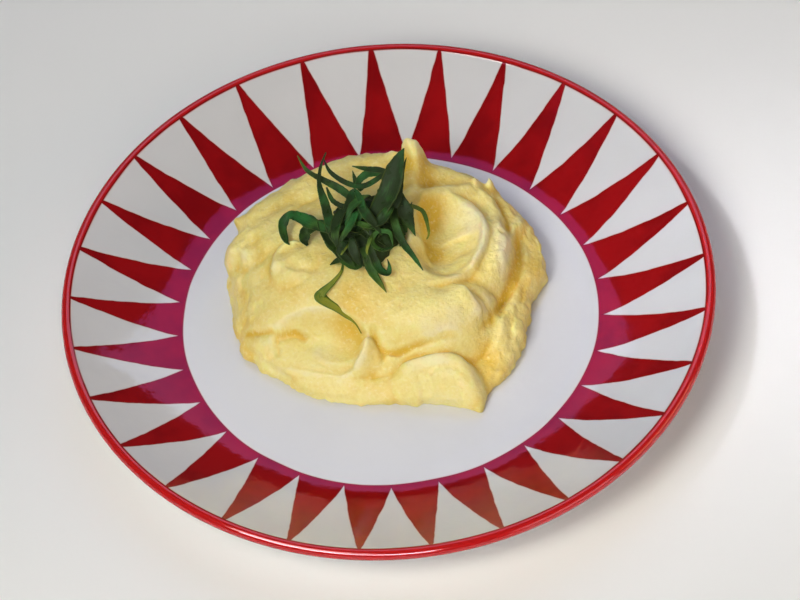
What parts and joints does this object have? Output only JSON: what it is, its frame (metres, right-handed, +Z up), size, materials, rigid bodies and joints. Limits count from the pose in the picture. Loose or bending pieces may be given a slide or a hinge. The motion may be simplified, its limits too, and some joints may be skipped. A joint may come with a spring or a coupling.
{
  "type": "mashed potato side on its plate",
  "caption": "Mound of mashed potato with spoon swirls and a pulled-up tip, topped with shredded spring onion, served on a round rimmed glazed plate.",
  "frame": {"origin": "centre of the plate's foot ring, on the surface that the plate stands on", "axes": "+Z up out of the plate, -Y towards the diner, +X to the diner's right"},
  "size_m": [0.24, 0.24, 0.0648],
  "materials": {
    "glaze": "gloss",
    "mash": "satin",
    "green_shreds": "satin",
    "light_green_shred": "satin"
  },
  "bodies": {
    "root": {"plate": "glaze", "mashed_potato": "mash", "onion_heap": "green_shreds", "loose_shred": "light_green_shred"}
  },
  "joints": []
}
